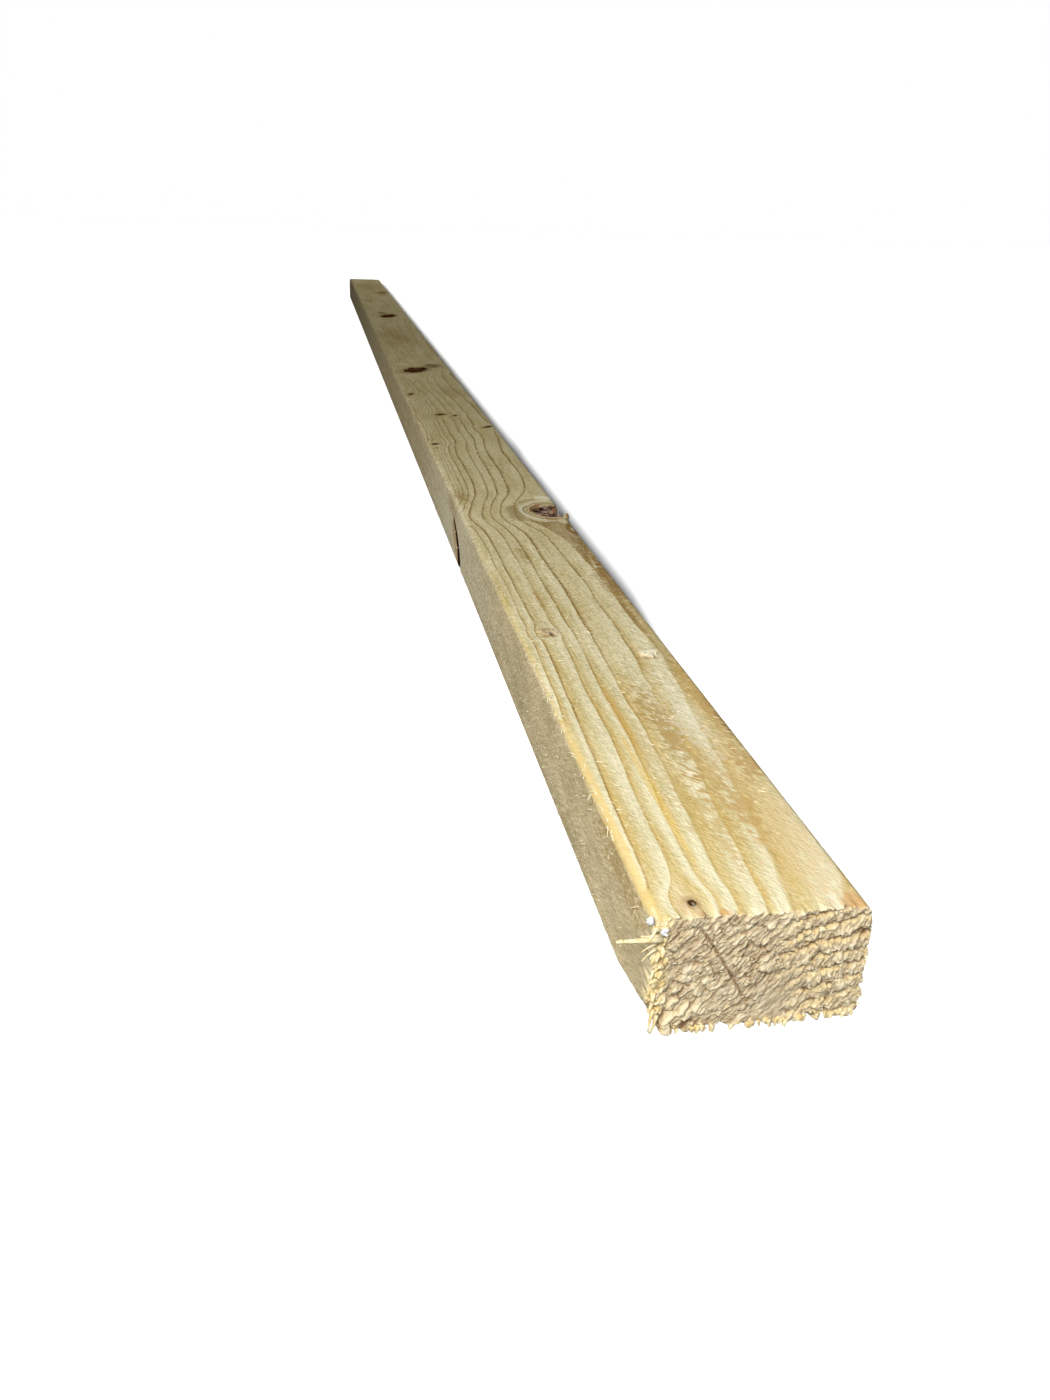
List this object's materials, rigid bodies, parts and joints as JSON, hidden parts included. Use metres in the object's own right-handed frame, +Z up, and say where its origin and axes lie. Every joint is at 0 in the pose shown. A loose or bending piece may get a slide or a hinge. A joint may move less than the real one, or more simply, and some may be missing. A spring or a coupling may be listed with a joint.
{
  "type": "timber plank",
  "caption": "Long straight length of planed softwood stud timber with eased arrises, square-cut torn ends, knots, an edge knot broken out and an end check.",
  "frame": {"origin": "centre of the underside, on the floor that the plank lies on", "axes": "+Y along the length, with the pictured torn end at -Y; +X across the width; +Z up through the thickness"},
  "size_m": [0.063, 2.4, 0.038],
  "materials": {
    "softwood": "planed, unfinished softwood; torn saw-cut end grain"
  },
  "bodies": {
    "root": {"plank": "softwood"}
  },
  "joints": []
}
